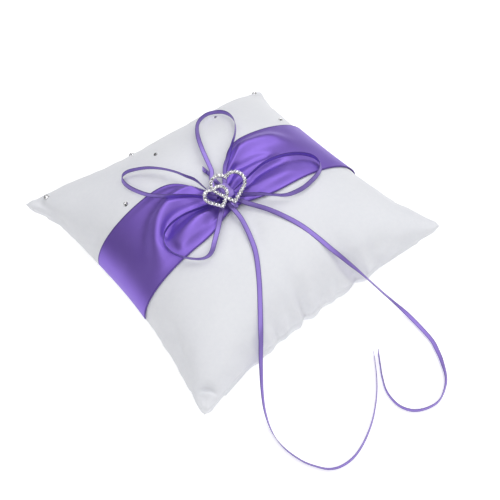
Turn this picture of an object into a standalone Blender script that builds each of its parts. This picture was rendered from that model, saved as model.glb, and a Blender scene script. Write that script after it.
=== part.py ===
"""Ring bearer pillow: a stuffed square pillow with a wide satin band gathered at its waist,
a double ribbon bow with two long tails, a double-heart rhinestone brooch and loose-set
rhinestones on the back half of the top.

Metres, +Z up. The origin is on the table under the middle of the pillow, +X runs along the
wide band and -Y is the front, where the ribbon tails hang over the edge.
"""

import math

import bmesh
import bpy
from mathutils import Matrix, Vector, geometry

# Clearances
GAP = 0.0003  # between pieces that touch

# Pillow: two square panels, sewn along one seam and filled
SIDE = 0.200  # seam corner to seam corner
PULL_X = 0.012  # how far the filling pulls in the middle of the left and right sides
PULL_Y = 0.009  # the same for the front and back sides
SEAM_HEIGHT = 0.025
CORNER_LIFT = {(-1, -1): -0.0148, (1, -1): 0.0068, (-1, 1): 0.0155, (1, 1): -0.0061}
CROWN = 0.043  # rise of the top panel over the seam
BELLY = 0.034  # drop of the bottom panel under the seam, before the table flattens it
CLOTH = 0.001  # panel with its lining
FILLING_GAP = 0.0008
PANEL_CELLS = 22

# Knot: where the bow is tied, with the hollow that its tie pulls into the pillow
KNOT_X = -0.007
KNOT_Y = -0.007
HOLLOW_DEPTH = 0.0115
HOLLOW_RADIUS = 0.030
KNOT_WIDTH = 0.010
KNOT_DEPTH = 0.010
KNOT_ROUNDING = 0.0012

# Wide satin band over the top, sewn into both side seams
BAND_WIDTH = 0.054
BAND_WAIST = 0.018
BAND_CLOTH = 0.0008
BAND_GAP = 0.0006
GATHER_LENGTH = 0.019  # how far from the knot the gathers reach
BAND_CELLS_LONG = 40
BAND_CELLS_ACROSS = 6

# Tie round the waist of the band
TIE_WIDTH = 0.003
TIE_CLOTH = 0.0006
TIE_GAP = 0.0004
TIE_ROOM = 0.0023  # height of the band over the pillow at its waist

# Narrow ribbon of the bow and tails
RIBBON_RADIUS = 0.0012
RIBBON_STEP = 0.0056

# Brooch: two hearts cast in one frame, each of two lobe arcs and two straight sides
BROOCH_LIFT = 0.0123  # middle of the brooch over the pillow under it
BROOCH_TILT = math.radians(23.3)  # it leans towards the front
LARGE_HEART = {
    "middle": (0.0035, 0.0022), "turn": -0.29, "lobe_apart": 0.00495, "lobe": 0.00645, "tip": 0.0133,
}
SMALL_HEART = {
    "middle": (-0.0079, -0.0002), "turn": -0.12, "lobe_apart": 0.0033, "lobe": 0.0045, "tip": 0.0089,
}
LARGE_BAR = (0.0017, 0.0012)  # width and height of the cast bar
SMALL_BAR = (0.0015, 0.0010)
LOBE_STEPS = 11
STONE_RADIUS = 0.0010
STONE_ROOM = 0.00018  # least room between two stones of a row
STONE_HEIGHT = 0.0011
STRIP_WAIST = 0.0004  # half width of a joined row between two stones

# Flat-backed rhinestones on the back half of the top. The first number is the share of the way from
# the middle to a side, the second the share of the way from the band's edge to the back
PILLOW_STONE_RADIUS = 0.0020
PILLOW_STONE_HEIGHT = 0.0016
PILLOW_STONES = (
    (-0.58, 0.09589), (-0.19, 0.39726), (0.36, 0.47945), (-0.88, 0.86301),
    (-0.27, 0.69863), (0.74, 0.12329), (0.90, 0.87671),
)

# Small knots on the cut ends of the bow's ribbon, by their place from the bow's knot
END_KNOT_RADIUS = 0.0014
END_KNOTS = {"ribbon_end_knot_back": (0.0020, 0.0250), "ribbon_end_knot_left": (-0.0120, 0.0160)}

# Ribbon routes, point by point, from the knot round each loop and back, or out to the cut end
LOOP_ROUTES = {
    "bow_loop_back": (
        (-0.0102, -0.0016, 0.0630), (-0.0094, 0.0040, 0.0643), (-0.0063, 0.0092, 0.0648),
        (-0.0026, 0.0140, 0.0654), (-0.0004, 0.0209, 0.0670), (0.0023, 0.0298, 0.0690),
        (0.0072, 0.0413, 0.0685), (0.0143, 0.0531, 0.0648), (0.0224, 0.0624, 0.0602),
        (0.0317, 0.0677, 0.0565), (0.0379, 0.0671, 0.0555), (0.0418, 0.0622, 0.0570),
        (0.0425, 0.0551, 0.0593), (0.0403, 0.0462, 0.0622), (0.0353, 0.0371, 0.0653),
        (0.0278, 0.0280, 0.0680), (0.0198, 0.0210, 0.0690), (0.0122, 0.0149, 0.0678),
        (0.0061, 0.0108, 0.0660), (0.0010, 0.0046, 0.0644), (-0.0035, -0.0009, 0.0630),
    ),
    "bow_loop_left": (
        (-0.0134, -0.0014, 0.0630), (-0.0143, 0.0065, 0.0642), (-0.0155, 0.0146, 0.0655),
        (-0.0190, 0.0204, 0.0670), (-0.0224, 0.0266, 0.0682), (-0.0273, 0.0348, 0.0680),
        (-0.0326, 0.0431, 0.0660), (-0.0382, 0.0491, 0.0638), (-0.0436, 0.0533, 0.0616),
        (-0.0478, 0.0532, 0.0603), (-0.0499, 0.0489, 0.0607), (-0.0504, 0.0410, 0.0622),
        (-0.0486, 0.0315, 0.0640), (-0.0453, 0.0222, 0.0660), (-0.0393, 0.0137, 0.0678),
        (-0.0323, 0.0091, 0.0670), (-0.0249, 0.0050, 0.0650), (-0.0185, -0.0006, 0.0639),
        (-0.0128, -0.0053, 0.0628),
    ),
    "bow_loop_right": (
        (-0.0016, -0.0068, 0.0624), (0.0068, -0.0067, 0.0648), (0.0161, -0.0064, 0.0678),
        (0.0245, -0.0064, 0.0698), (0.0332, -0.0078, 0.0702), (0.0428, -0.0099, 0.0685),
        (0.0518, -0.0129, 0.0653), (0.0578, -0.0172, 0.0620), (0.0586, -0.0232, 0.0604),
        (0.0540, -0.0288, 0.0615), (0.0457, -0.0331, 0.0635), (0.0342, -0.0361, 0.0650),
        (0.0255, -0.0357, 0.0655), (0.0196, -0.0336, 0.0656), (0.0149, -0.0292, 0.0656),
        (0.0098, -0.0228, 0.0648), (0.0042, -0.0170, 0.0635), (-0.0009, -0.0109, 0.0622),
    ),
    "bow_loop_front": (
        (-0.0126, -0.0090, 0.0624), (-0.0187, -0.0080, 0.0634), (-0.0258, -0.0069, 0.0648),
        (-0.0334, -0.0064, 0.0665), (-0.0404, -0.0060, 0.0673), (-0.0478, -0.0057, 0.0660),
        (-0.0536, -0.0067, 0.0638), (-0.0575, -0.0096, 0.0616), (-0.0592, -0.0146, 0.0603),
        (-0.0586, -0.0211, 0.0596), (-0.0552, -0.0287, 0.0600), (-0.0503, -0.0352, 0.0607),
        (-0.0456, -0.0379, 0.0613), (-0.0411, -0.0374, 0.0628), (-0.0353, -0.0331, 0.0648),
        (-0.0284, -0.0273, 0.0656), (-0.0200, -0.0187, 0.0636), (-0.0130, -0.0123, 0.0619),
    ),
}
TAIL_ROUTES = {
    "ribbon_tail_front": (
        (-0.0101, -0.0123, 0.0618), (-0.0104, -0.0170, 0.0622), (-0.0108, -0.0223, 0.0625),
        (-0.0119, -0.0297, 0.0623), (-0.0159, -0.0426, 0.0617), (-0.0208, -0.0543, 0.0596),
        (-0.0291, -0.0672, 0.0537), (-0.0387, -0.0797, 0.0456), (-0.0450, -0.0875, 0.0394),
        (-0.0484, -0.0915, 0.0340), (-0.0523, -0.0958, 0.0265), (-0.0554, -0.0995, 0.0195),
        (-0.0612, -0.1071, 0.0120), (-0.0667, -0.1162, 0.0050), (-0.0709, -0.1278, 0.0018),
        (-0.0719, -0.1400, 0.0016), (-0.0690, -0.1527, 0.0016), (-0.0644, -0.1612, 0.0016),
        (-0.0599, -0.1665, 0.0016), (-0.0534, -0.1695, 0.0016), (-0.0444, -0.1700, 0.0016),
        (-0.0337, -0.1671, 0.0016), (-0.0213, -0.1610, 0.0016), (-0.0104, -0.1532, 0.0016),
        (-0.0024, -0.1459, 0.0016), (0.0042, -0.1385, 0.0016), (0.0080, -0.1338, 0.0016),
        (0.0120, -0.1285, 0.0016),
    ),
    "ribbon_tail_right": (
        (-0.0038, -0.0125, 0.0618), (-0.0024, -0.0165, 0.0620), (-0.0008, -0.0208, 0.0622),
        (0.0020, -0.0263, 0.0625), (0.0061, -0.0353, 0.0630), (0.0103, -0.0457, 0.0622),
        (0.0144, -0.0561, 0.0598), (0.0179, -0.0672, 0.0556), (0.0203, -0.0757, 0.0518),
        (0.0231, -0.0820, 0.0476), (0.0268, -0.0875, 0.0415), (0.0302, -0.0912, 0.0360),
        (0.0341, -0.0949, 0.0290), (0.0383, -0.0986, 0.0213), (0.0422, -0.1035, 0.0140),
        (0.0459, -0.1110, 0.0075), (0.0485, -0.1234, 0.0026), (0.0471, -0.1432, 0.0016),
        (0.0440, -0.1520, 0.0016), (0.0400, -0.1599, 0.0016), (0.0326, -0.1700, 0.0016),
        (0.0213, -0.1763, 0.0016), (0.0119, -0.1762, 0.0016), (0.0029, -0.1717, 0.0016),
        (-0.0016, -0.1635, 0.0016), (-0.0008, -0.1530, 0.0016), (0.0040, -0.1440, 0.0016),
        (0.0095, -0.1365, 0.0016), (0.0152, -0.1290, 0.0016),
    ),
}

HALF = SIDE / 2
WAIST_ALONG = math.asin(KNOT_X / (HALF - PULL_X)) / (math.pi / 2)  # the knot's place along the band


# Materials


def finish(name, colour, roughness, metallic=0.0):
    """A plain Principled material."""
    material = bpy.data.materials.new(name)
    material.use_nodes = True
    shader = material.node_tree.nodes["Principled BSDF"]
    shader.inputs["Base Color"].default_value = (*colour, 1.0)
    shader.inputs["Roughness"].default_value = roughness
    shader.inputs["Metallic"].default_value = metallic
    return material


# Mesh helpers


def add_object(name, data, material):
    obj = bpy.data.objects.new(name, data)
    bpy.context.scene.collection.objects.link(obj)
    data.materials.append(material)
    return obj


def add_mesh(name, points, faces, material, weld=0.0, turn_out=True):
    """A mesh object. turn_out turns its faces outwards, which a hollow shell's faces already are."""
    bm = bmesh.new()
    verts = [bm.verts.new(p) for p in points]
    for face in faces:
        bm.faces.new([verts[i] for i in face])
    if weld:
        bmesh.ops.remove_doubles(bm, verts=bm.verts, dist=weld)
    if turn_out:
        bmesh.ops.recalc_face_normals(bm, faces=bm.faces)
    mesh = bpy.data.meshes.new(name)
    bm.to_mesh(mesh)
    bm.free()
    mesh.shade_smooth()
    mesh.set_sharp_from_angle(angle=math.radians(40))
    return add_object(name, mesh, material)


def cell_triangles(i, j, rows, columns):
    """The two triangles of a cell, split along the diagonal that runs out to the sheet's corner."""
    a, b = i * columns + j, (i + 1) * columns + j
    if (2 * i < rows - 1) == (2 * j < columns - 1):
        return [a, b, b + 1], [a, b + 1, a + 1]
    return [a, b, a + 1], [b, b + 1, a + 1]


def sheet_solid(name, over, under, rows, columns, material, weld=0.0):
    """A closed solid between two sheets of rows x columns points, joined round their rims."""
    points = [over(i, j) for i in range(rows) for j in range(columns)]
    points += [under(i, j) for i in range(rows) for j in range(columns)]
    second = rows * columns
    faces = []
    for i in range(rows - 1):
        for j in range(columns - 1):
            for triangle in cell_triangles(i, j, rows, columns):
                faces.append(triangle)
                faces.append([second + k for k in reversed(triangle)])
    rim = [i * columns for i in range(rows)]
    rim += [(rows - 1) * columns + j for j in range(1, columns)]
    rim += [i * columns + columns - 1 for i in range(rows - 2, -1, -1)]
    rim += list(range(columns - 2, 0, -1))
    if not weld:
        for a, b in zip(rim, rim[1:] + rim[:1]):
            faces.append([second + a, second + b, b, a])
    return add_mesh(name, points, faces, material, weld, turn_out=False)


def prism_rings(name, rings, material):
    """A closed tube of stacked rings, its ends closed by flat faces."""
    count = len(rings[0])
    points = [p for ring in rings for p in ring]
    faces = [list(range(count)), list(range(len(points) - count, len(points)))]
    for level in range(len(rings) - 1):
        start = level * count
        for k in range(count):
            after = (k + 1) % count
            faces.append([start + k, start + after, start + count + after, start + count + k])
    return add_mesh(name, points, faces, material)


# Pillow surfaces


def corner_lift(x, y):
    """How far the seam rises or drops towards the nearest corner."""
    lift = CORNER_LIFT[(1 if x > 0 else -1, 1 if y > 0 else -1)]
    return lift * (abs(x) * abs(y) / HALF**2) ** 2


def hollow(x, y):
    """Depth of the hollow that the knot pulls into the top."""
    away = ((x - KNOT_X) ** 2 + (y - KNOT_Y) ** 2) / HOLLOW_RADIUS**2
    return HOLLOW_DEPTH * math.exp(-away)


def pillow_point(u, v, rise, grow=0.0, shift=0.0):
    """A point of a panel: u and v run from -1 to 1 between the seams, and rise is the panel's height
    over the seam, or its depth under it. grow makes the panel larger all round."""
    x = u * (HALF - PULL_X * (1 - v * v) + grow)
    y = v * (HALF - PULL_Y * (1 - u * u) + grow)
    bulge = math.sqrt(max(0.0, (1 - u * u) * (1 - v * v)))
    z = SEAM_HEIGHT + corner_lift(x, y) + shift
    if rise > 0:
        z += (rise + grow) * bulge - hollow(x, y) * min(1.0, 4 * bulge)
    else:
        z += (rise - grow) * bulge
    return x, y, z


def panel_share(k):
    """Share of the way across a panel, close together near the seam."""
    return math.sin(math.pi * (k / PANEL_CELLS - 0.5))


def top_panel_point(i, j, grow=0.0, shift=0.0):
    return Vector(pillow_point(panel_share(i), panel_share(j), CROWN, grow, shift))


def bottom_panel_point(i, j, grow=0.0, shift=0.0):
    x, y, z = pillow_point(panel_share(i), panel_share(j), -BELLY, grow, shift)
    return Vector((x, y, max(z, -grow)))


def top_at(x, y, grow=0.0):
    """Height of the top panel at x, y."""
    u, v = x / HALF, y / HALF
    for _ in range(20):
        u = max(-1.0, min(1.0, x / (HALF - PULL_X * (1 - v * v) + grow)))
        v = max(-1.0, min(1.0, y / (HALF - PULL_Y * (1 - u * u) + grow)))
    return pillow_point(u, v, CROWN, grow)[2]


def seat_on_top(x, y, lift):
    """A frame whose origin lies lift over the top panel at x, y, with its Z along the normal."""
    near = 0.002
    slope_x = (top_at(x + near, y) - top_at(x - near, y)) / (2 * near)
    slope_y = (top_at(x, y + near) - top_at(x, y - near)) / (2 * near)
    normal = Vector((-slope_x, -slope_y, 1.0)).normalized()
    turn = normal.to_track_quat("Z", "Y").to_matrix().to_4x4()
    place = Vector((x, y, top_at(x, y))) + normal * lift
    return Matrix.Translation(place) @ turn


def make_pillow(white, fibre):
    rows = PANEL_CELLS + 1
    sheet_solid(
        "cover_top",
        lambda i, j: top_panel_point(i, j, 0.0, GAP / 2),
        lambda i, j: top_panel_point(i, j, -CLOTH, GAP / 2),
        rows, rows, white,
    )
    sheet_solid(
        "cover_bottom",
        lambda i, j: bottom_panel_point(i, j, -CLOTH, -GAP / 2),
        lambda i, j: bottom_panel_point(i, j, 0.0, -GAP / 2),
        rows, rows, white,
    )
    inside = -CLOTH - FILLING_GAP
    sheet_solid(
        "fibre_filling",
        lambda i, j: top_panel_point(i, j, inside),
        lambda i, j: bottom_panel_point(i, j, inside),
        rows, rows, fibre, weld=1e-6,
    )


# Wide band and its tie


def gather(x):
    """1 at the knot, falling to 0 where the band lies at its full width."""
    return math.exp(-(((x - KNOT_X) / GATHER_LENGTH) ** 2))


def band_room(x):
    """Height of the band's underside over the pillow, more at the waist, where the tie passes under it."""
    return BAND_GAP + (TIE_ROOM - BAND_GAP) * gather(x)


def band_half_width(x):
    return BAND_WIDTH / 2 - (BAND_WIDTH - BAND_WAIST) / 2 * gather(x)


def band_point(along, across, layer):
    """along runs from -1 to 1 between the side seams, across from -1 to 1 over the width."""
    u = math.sin(math.pi / 2 * along)
    x = u * (HALF - PULL_X)
    y = KNOT_Y * gather(x) + across * band_half_width(x)
    v = y / (HALF - PULL_Y * (1 - u * u))
    return Vector(pillow_point(u, v, CROWN, band_room(x) + layer, GAP / 2))


def make_band(satin):
    def along(i):
        """Stations that crowd towards the waist."""
        share = 2 * i / BAND_CELLS_LONG - 1
        side = math.copysign(1.0, share)
        return WAIST_ALONG + (side - WAIST_ALONG) * (1 - math.cos(math.pi / 2 * share))

    def point(i, j, layer):
        return band_point(along(i), 2 * j / BAND_CELLS_ACROSS - 1, layer)

    sheet_solid(
        "wide_band",
        lambda i, j: point(i, j, BAND_CLOTH),
        lambda i, j: point(i, j, 0.0),
        BAND_CELLS_LONG + 1, BAND_CELLS_ACROSS + 1, satin,
    )


def make_tie(satin):
    """A flat ring of ribbon round the waist of the band, under it and over it."""
    shares = [2 * k / BAND_CELLS_ACROSS - 1 for k in range(BAND_CELLS_ACROSS + 1)]
    room = TIE_GAP
    rings = []
    for x in (KNOT_X - TIE_WIDTH / 2, KNOT_X + TIE_WIDTH / 2):
        for reach in (room, room + TIE_CLOTH):
            under = [band_point(WAIST_ALONG, s, -reach) for s in shares]
            over = [band_point(WAIST_ALONG, s, BAND_CLOTH + reach) for s in reversed(shares)]
            for side in (under[-1], over[0]):
                side.y += reach
            for side in (under[0], over[-1]):
                side.y -= reach
            rings.append([Vector((x, p.y, p.z)) for p in under + over])
    inner_left, outer_left, inner_right, outer_right = rings
    count = len(inner_left)
    order = (outer_left, outer_right, inner_right, inner_left)
    points = [p for ring in order for p in ring]
    faces = []
    for ring in range(4):
        start, other = ring * count, (ring + 1) % 4 * count
        for k in range(count):
            after = (k + 1) % count
            faces.append([start + k, start + after, other + after, other + k])
    add_mesh("waist_tie", points, faces, satin)


# Bow


def smooth_route(route, step):
    """Points a step apart on a smooth curve through the route's points."""
    points = [Vector(p) for p in route]
    ends = [2 * points[0] - points[1]] + points + [2 * points[-1] - points[-2]]
    fine = []
    for before, a, b, after in zip(ends, ends[1:], ends[2:], ends[3:]):
        handle_a = a + (b - before) / 6
        handle_b = b - (after - a) / 6
        fine += geometry.interpolate_bezier(a, handle_a, handle_b, b, 25)[:-1]
    fine.append(points[-1])
    travelled = [0.0]
    for a, b in zip(fine, fine[1:]):
        travelled.append(travelled[-1] + (b - a).length)
    count = max(2, round(travelled[-1] / step))
    out, k = [], 0
    for n in range(count + 1):
        target = travelled[-1] * n / count
        while k < len(fine) - 2 and travelled[k + 1] < target:
            k += 1
        share = (target - travelled[k]) / (travelled[k + 1] - travelled[k])
        out.append(fine[k].lerp(fine[k + 1], share))
    return out


def ribbon_tube(name, route, satin):
    points = smooth_route(route, RIBBON_STEP)
    curve = bpy.data.curves.new(name, "CURVE")
    curve.dimensions = "3D"
    curve.bevel_depth = RIBBON_RADIUS
    curve.bevel_resolution = 2
    curve.use_fill_caps = True
    spline = curve.splines.new("POLY")
    spline.points.add(len(points) - 1)
    for place, point in zip(spline.points, points):
        place.co = (*point, 1.0)
    return add_object(name, curve, satin)


def brooch_height():
    return top_at(KNOT_X, KNOT_Y) + BROOCH_LIFT


def brooch_frame():
    """The brooch's own frame: X to the right, Y up its hearts and Z out of its face."""
    place = Matrix.Translation((KNOT_X, KNOT_Y, brooch_height()))
    return place @ Matrix.Rotation(BROOCH_TILT, 4, "X")


def knot_top(y):
    """Height of the back of the brooch at y, less a gap."""
    back = LARGE_BAR[1] / 2 + GAP
    return brooch_height() + (y - KNOT_Y) * math.tan(BROOCH_TILT) - back / math.cos(BROOCH_TILT)


def make_knot(satin):
    """A wedge of wound ribbon that sits on the tie and carries the brooch."""
    over_tie = BAND_CLOTH + TIE_GAP + TIE_CLOTH + GAP
    base = band_point(WAIST_ALONG, KNOT_DEPTH / BAND_WAIST, over_tie).z
    xs = (KNOT_X - KNOT_WIDTH / 2, KNOT_X + KNOT_WIDTH / 2)
    ys = (KNOT_Y - KNOT_DEPTH / 2, KNOT_Y + KNOT_DEPTH / 2)
    corners = [(xs[0], ys[0]), (xs[1], ys[0]), (xs[1], ys[1]), (xs[0], ys[1])]
    rings = [
        [Vector((x, y, base)) for x, y in corners],
        [Vector((x, y, knot_top(y))) for x, y in corners],
    ]
    knot = prism_rings("bow_knot", rings, satin)
    rounding = knot.modifiers.new("rounding", "BEVEL")
    rounding.width = KNOT_ROUNDING
    rounding.segments = 2


def make_end_knots(satin):
    for name, (right, back) in END_KNOTS.items():
        bm = bmesh.new()
        bmesh.ops.create_uvsphere(bm, u_segments=10, v_segments=6, radius=END_KNOT_RADIUS)
        x, y = KNOT_X + right, KNOT_Y + back
        on_band = abs(y - KNOT_Y * gather(x)) < band_half_width(x) + END_KNOT_RADIUS
        height = top_at(x, y, band_room(x) + BAND_CLOTH if on_band else 0.0) + GAP + END_KNOT_RADIUS * 1.2
        bmesh.ops.translate(bm, verts=bm.verts, vec=(x, y, height))
        mesh = bpy.data.meshes.new(name)
        bm.to_mesh(mesh)
        bm.free()
        mesh.shade_smooth()
        add_object(name, mesh, satin)


# Brooch


def heart_outline(heart, offset=0.0):
    """Outline of a heart in its own plane, from the notch round the right side to the tip and back,
    moved outwards by offset."""
    apart = heart["lobe_apart"]
    to_centre = math.hypot(apart, heart["tip"])
    side_angle = math.atan2(apart, heart["tip"]) + math.asin(heart["lobe"] / to_centre)
    radius = heart["lobe"] + offset
    tip = heart["tip"] + offset / math.sin(side_angle)
    notch_angle = math.acos(-apart / radius)
    turn = notch_angle + side_angle
    right = []
    for k in range(LOBE_STEPS + 1):
        angle = notch_angle - turn * k / LOBE_STEPS
        right.append(Vector((apart + radius * math.cos(angle), radius * math.sin(angle))))
    end = right[-1]
    point = Vector((0.0, -tip))
    right += [end.lerp(point, k / 3) for k in (1, 2)]
    left = [Vector((-p.x, p.y)) for p in reversed(right[1:])]
    turned = Matrix.Rotation(heart["turn"], 2)
    return [Vector(heart["middle"]) + turned @ p for p in right + [point] + left]


def heart_ring(name, heart, bar, material):
    """A closed heart-shaped bar, centred on the brooch's plane."""
    width, height = bar
    inner, outer = heart_outline(heart, -width / 2), heart_outline(heart, width / 2)
    place = brooch_frame()
    loops = ((outer, -height / 2), (outer, height / 2), (inner, height / 2), (inner, -height / 2))
    points = [place @ Vector((p.x, p.y, z)) for loop, z in loops for p in loop]
    count = len(inner)
    faces = []
    for loop in range(4):
        start, other = loop * count, (loop + 1) % 4 * count
        for k in range(count):
            after = (k + 1) % count
            faces.append([start + k, start + after, other + after, other + k])
    return add_mesh(name, points, faces, material)


def along_outline(outline, count):
    """count places spread evenly round a closed outline, the first on its notch."""
    closed = outline + outline[:1]
    lengths = [(b - a).length for a, b in zip(closed, closed[1:])]
    pitch = sum(lengths) / count
    places = []
    for n in range(count):
        left = pitch * n
        k = 0
        while left > lengths[k]:
            left -= lengths[k]
            k += 1
        places.append(closed[k].lerp(closed[k + 1], left / lengths[k]))
    return places


def stones_round(outline):
    """Places for as many stones as fit round a closed outline, an even number, so that its notch
    and its tip each hold one."""
    closed = outline + outline[:1]
    around = sum((b - a).length for a, b in zip(closed, closed[1:]))
    count = 2 * math.floor(around / 2 / (2 * STONE_RADIUS + STONE_ROOM))
    return along_outline(outline, count)


def stone(name, place, profile, sides, material):
    """A cut stone: rings of radius and height, stacked on the frame place."""
    rings = []
    for radius, height in profile:
        turn = [2 * math.pi * (k + 0.5) / sides for k in range(sides)]
        rings.append([place @ Vector((radius * math.cos(a), radius * math.sin(a), height)) for a in turn])
    return prism_rings(name, rings, material)


def stone_strip(name, centres, base, material):
    """A row of stones joined edge to edge, as one piece."""
    half = STONE_RADIUS
    stations = []
    for a, b in zip(centres, centres[1:]):
        shoulder = 0.8 * half
        widths = ((0.0, half), (0.25, shoulder), (0.5, STRIP_WAIST), (0.75, shoulder))
        stations += [(a.lerp(b, share), width) for share, width in widths]
    stations.append((centres[-1], half))
    first = (centres[0] - centres[1]).normalized() * half
    last = (centres[-1] - centres[-2]).normalized() * half
    stations = [(centres[0] + first, STRIP_WAIST)] + stations + [(centres[-1] + last, STRIP_WAIST)]
    place = brooch_frame()
    rings = []
    for k, (middle, width) in enumerate(stations):
        before = stations[max(k - 1, 0)][0]
        after = stations[min(k + 1, len(stations) - 1)][0]
        way = (after - before).normalized()
        side = Vector((-way.y, way.x)) * width
        crest = 0.6
        ring = [
            (middle - side, base), (middle + side, base),
            (middle + side * crest, base + STONE_HEIGHT), (middle - side * crest, base + STONE_HEIGHT),
        ]
        rings.append([place @ Vector((p.x, p.y, z)) for p, z in ring])
    return prism_rings(name, rings, material)


def make_brooch(metal, crystal):
    frame = heart_ring("double_heart_frame", LARGE_HEART, LARGE_BAR, metal)
    small = heart_ring("small_heart_bar", SMALL_HEART, SMALL_BAR, metal)
    small.hide_render = True
    small.display_type = "WIRE"
    join = frame.modifiers.new("small heart", "BOOLEAN")
    join.operation = "UNION"
    join.object = small

    seat = LARGE_BAR[1] / 2 + GAP
    profile = ((0.55, 0.0), (1.0, 0.45), (1.0, 0.6), (0.6, 1.0))
    profile = [(r * STONE_RADIUS, h * STONE_HEIGHT) for r, h in profile]
    large = stones_round(heart_outline(LARGE_HEART))
    for number, middle in enumerate(large, start=1):
        place = brooch_frame() @ Matrix.Translation((middle.x, middle.y, seat))
        stone(f"large_heart_stone_{number:02d}", place, profile, 8, crystal)

    small_row = stones_round(heart_outline(SMALL_HEART))
    count = len(small_row)
    clear = 2 * STONE_RADIUS + GAP
    free = [min((p - q).length for q in large) > clear for p in small_row]
    start = next(k for k in range(count) if free[k] and not free[k - 1])
    runs = [[]]
    for k in range(count):
        index = (start + k) % count
        if free[index]:
            runs[-1].append(small_row[index])
        elif runs[-1]:
            runs.append([])
    runs = [run for run in runs if len(run) > 1]
    for letter, run in zip("ab", sorted(runs, key=len, reverse=True)):
        stone_strip(f"small_heart_stones_{letter}", run, seat, crystal)


def make_pillow_stones(crystal):
    profile = ((1.0, 0.0), (1.0, 0.2), (0.78, 0.7), (0.5, 1.0))
    profile = [(r * PILLOW_STONE_RADIUS, h * PILLOW_STONE_HEIGHT) for r, h in profile]
    band_edge = BAND_WIDTH / 2
    for number, (across, back) in enumerate(PILLOW_STONES, start=1):
        place = seat_on_top(across * HALF, band_edge + back * (HALF - band_edge), GAP)
        stone(f"pillow_stone_{number}", place, profile, 12, crystal)


def main():
    for obj in list(bpy.data.objects):
        bpy.data.objects.remove(obj, do_unlink=True)
    white = finish("white satin", (0.72, 0.73, 0.76), 0.45)
    fibre = finish("polyester fibre", (0.85, 0.85, 0.83), 0.9)
    satin = finish("purple satin", (0.17, 0.10, 0.42), 0.35)
    metal = finish("silver-tone metal", (0.75, 0.74, 0.70), 0.2, 1.0)
    crystal = finish("crystal", (0.92, 0.93, 0.95), 0.05)

    make_pillow(white, fibre)
    make_band(satin)
    make_tie(satin)
    make_knot(satin)
    for name, route in {**LOOP_ROUTES, **TAIL_ROUTES}.items():
        ribbon_tube(name, route, satin)
    make_end_knots(satin)
    make_brooch(metal, crystal)
    make_pillow_stones(crystal)


main()
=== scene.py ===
"""Looks for the ring bearer pillow: a stuffed white satin pillow, a wide purple satin band gathered
under a double bow, two long ribbon tails and a double-heart rhinestone brooch.

Metres, +Z up. +X runs along the wide band and -Y is the front, where the tails hang over the edge.
"""

import math
import random

import bmesh
import bpy
import numpy as np
from mathutils import Matrix, Vector


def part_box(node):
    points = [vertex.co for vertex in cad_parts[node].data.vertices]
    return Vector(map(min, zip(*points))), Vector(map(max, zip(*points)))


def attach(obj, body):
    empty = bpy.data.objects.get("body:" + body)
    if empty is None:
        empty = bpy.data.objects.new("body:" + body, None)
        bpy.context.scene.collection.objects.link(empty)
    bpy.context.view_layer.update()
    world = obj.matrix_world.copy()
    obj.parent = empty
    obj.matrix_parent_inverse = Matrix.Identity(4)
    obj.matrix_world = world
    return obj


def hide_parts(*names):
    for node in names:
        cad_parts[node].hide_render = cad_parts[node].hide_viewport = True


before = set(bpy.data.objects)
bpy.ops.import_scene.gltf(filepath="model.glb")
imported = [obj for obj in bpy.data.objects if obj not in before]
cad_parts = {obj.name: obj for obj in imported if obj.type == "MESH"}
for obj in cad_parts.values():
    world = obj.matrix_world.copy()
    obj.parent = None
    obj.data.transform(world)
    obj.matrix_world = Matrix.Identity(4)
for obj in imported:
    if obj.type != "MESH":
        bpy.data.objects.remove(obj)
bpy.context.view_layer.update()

# Pillow, as cut and filled
HALF = 0.100
PULL_X, PULL_Y = 0.012, 0.009
SEAM_HEIGHT = 0.025
CORNER_LIFT = {(-1, -1): -0.0148, (1, -1): 0.0068, (-1, 1): 0.0155, (1, 1): -0.0061}
CROWN = 0.043
BELLY = 0.034
PANEL_CELLS = 80

# Knot and the hollow that it pulls into the top
KNOT = Vector((-0.007, -0.007))
HOLLOW_DEPTH = 0.0115
HOLLOW_RADIUS = 0.030

# Wide band
BAND_WIDTH = 0.054
BAND_WAIST = 0.018
BAND_CLOTH = 0.0006
BAND_GAP = 0.0006
GATHER_LENGTH = 0.019
WAIST_ROOM = 0.0023
BAND_ROWS = 220
BAND_COLUMNS = 72

# Narrow ribbon
RIBBON_WIDTH = 0.0031
RIBBON_CLOTH = 0.00024
RIBBON_STEP = 0.0012

# Brooch
BROOCH_LIFT = 0.0123
BROOCH_TILT = math.radians(23.3)
LARGE_HEART = {
    "middle": (0.0035, 0.0022), "turn": -0.29, "lobe_apart": 0.00495, "lobe": 0.00645, "tip": 0.0133,
}
SMALL_HEART = {
    "middle": (-0.0079, -0.0002), "turn": -0.12, "lobe_apart": 0.0033, "lobe": 0.0045, "tip": 0.0089,
}
LARGE_COUNT, SMALL_COUNT = 30, 20
STONE_RADIUS = 0.0010
STONE_HEIGHT = 0.0011
BAR_HEIGHT = 0.0012
# Greys painted on the stones' facets, from black to white: painted reflections, and the brightest also glow as
# painted glints
HEART_STONE_GLINTS = (0.0, 0.1, 0.55, 0.9, 1.0, 1.0)
PILLOW_STONE_GLINTS = (0.0, 0.0, 0.05, 0.3, 0.8, 1.0)

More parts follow.
